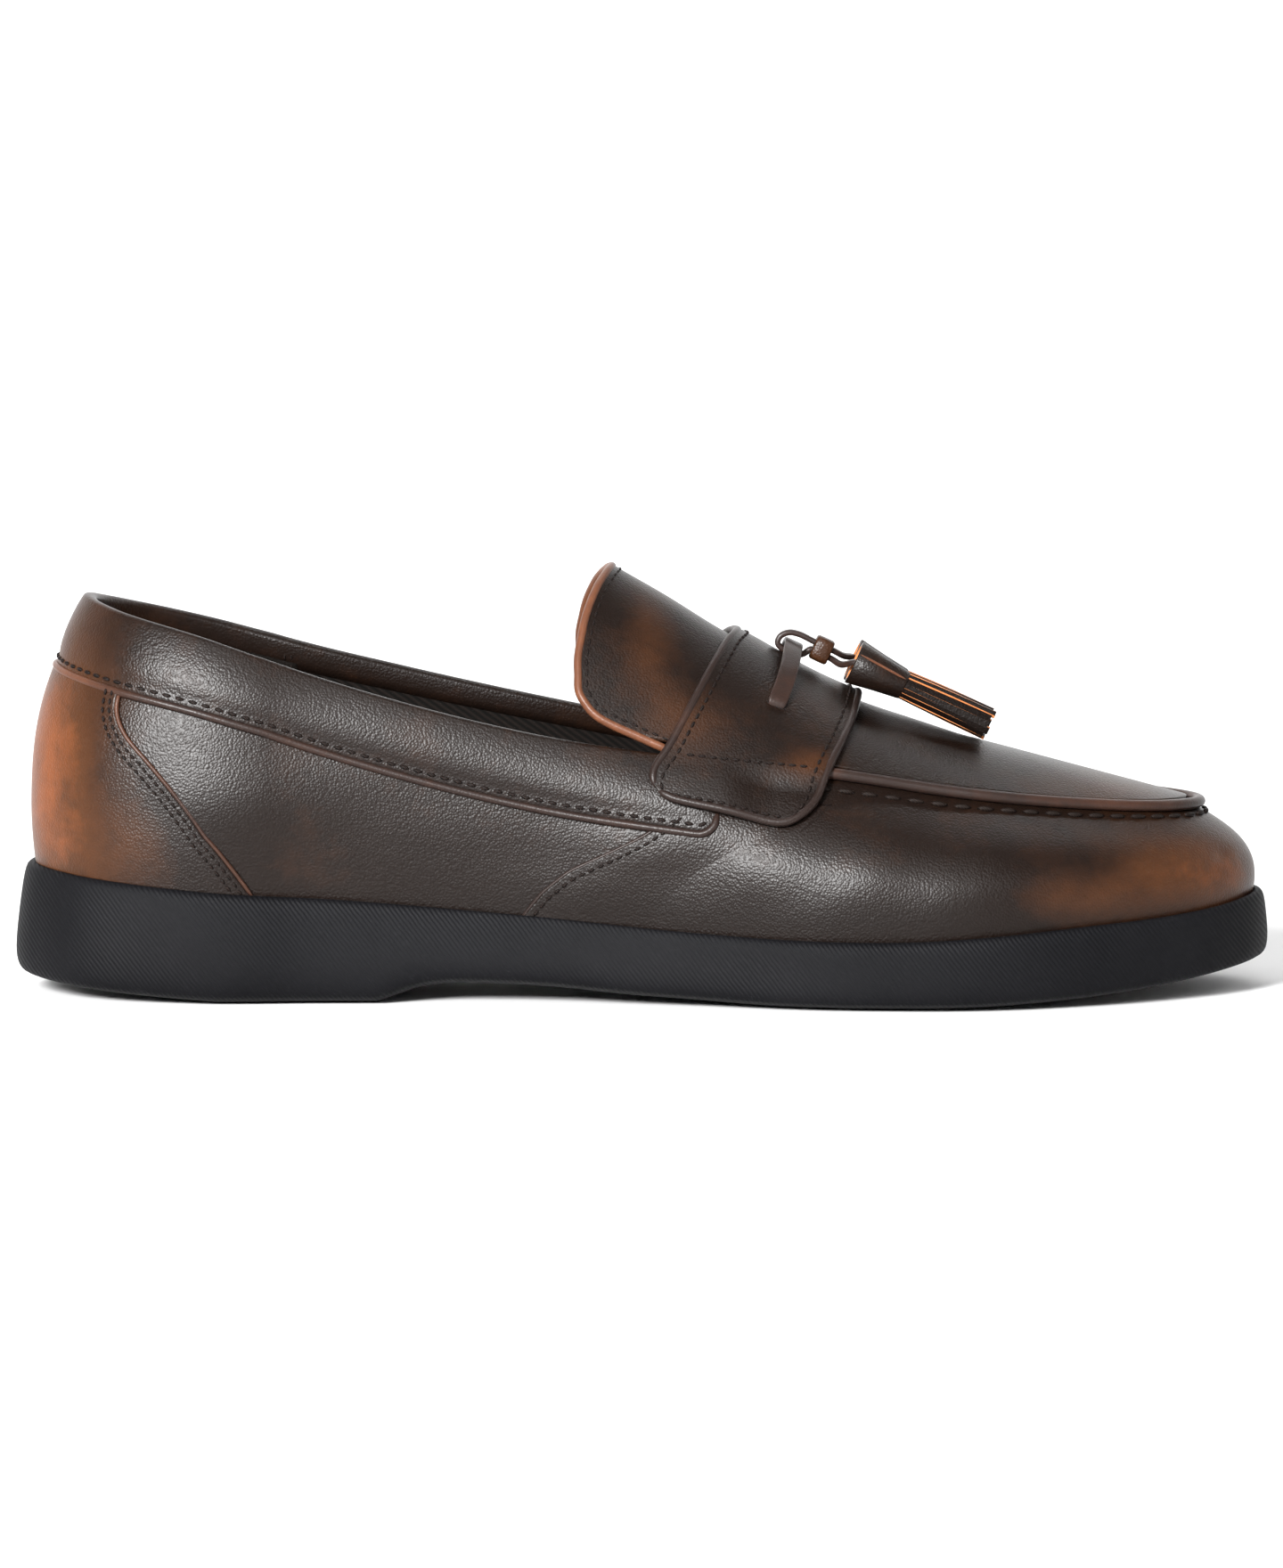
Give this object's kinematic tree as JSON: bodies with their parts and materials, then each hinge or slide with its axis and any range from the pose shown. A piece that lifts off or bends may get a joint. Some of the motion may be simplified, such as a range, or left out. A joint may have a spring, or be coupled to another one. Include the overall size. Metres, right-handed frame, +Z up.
{
  "type": "tassel loafer",
  "caption": "Right tassel loafer: leather upper with apron, saddle strap and tongue on a one-piece rubber sole with a low heel.",
  "frame": {"origin": "centre of the heel's flat tread, on the floor", "axes": "+X towards the toe, +Y towards the inner (medial) side, +Z up"},
  "size_m": [0.296, 0.1043, 0.1008],
  "materials": {
    "rubber": "matte, finely ribbed side",
    "leather": "burnished brown, soft sheen",
    "apron_leather": "grey brown, soft sheen",
    "lining": "dull dark brown",
    "band_leather": "grey brown, burnished at the back, soft sheen",
    "counter_leather": "copper brown, burnished, soft sheen",
    "strap_leather": "grey brown, soft sheen",
    "tassel_leather": "very dark brown, orange cut edges"
  },
  "bodies": {
    "root": {"outsole": "rubber", "insole": "lining", "upper": "leather", "apron_tongue": "apron_leather", "apron_seam": "leather", "collar_band": "band_leather", "heel_counter": "counter_leather", "saddle_strap": "strap_leather", "lace_bridge": "strap_leather", "tassel_loop": "strap_leather", "keeper": "tassel_leather", "tassel_outer": "tassel_leather", "tassel_inner": "tassel_leather"}
  },
  "joints": []
}
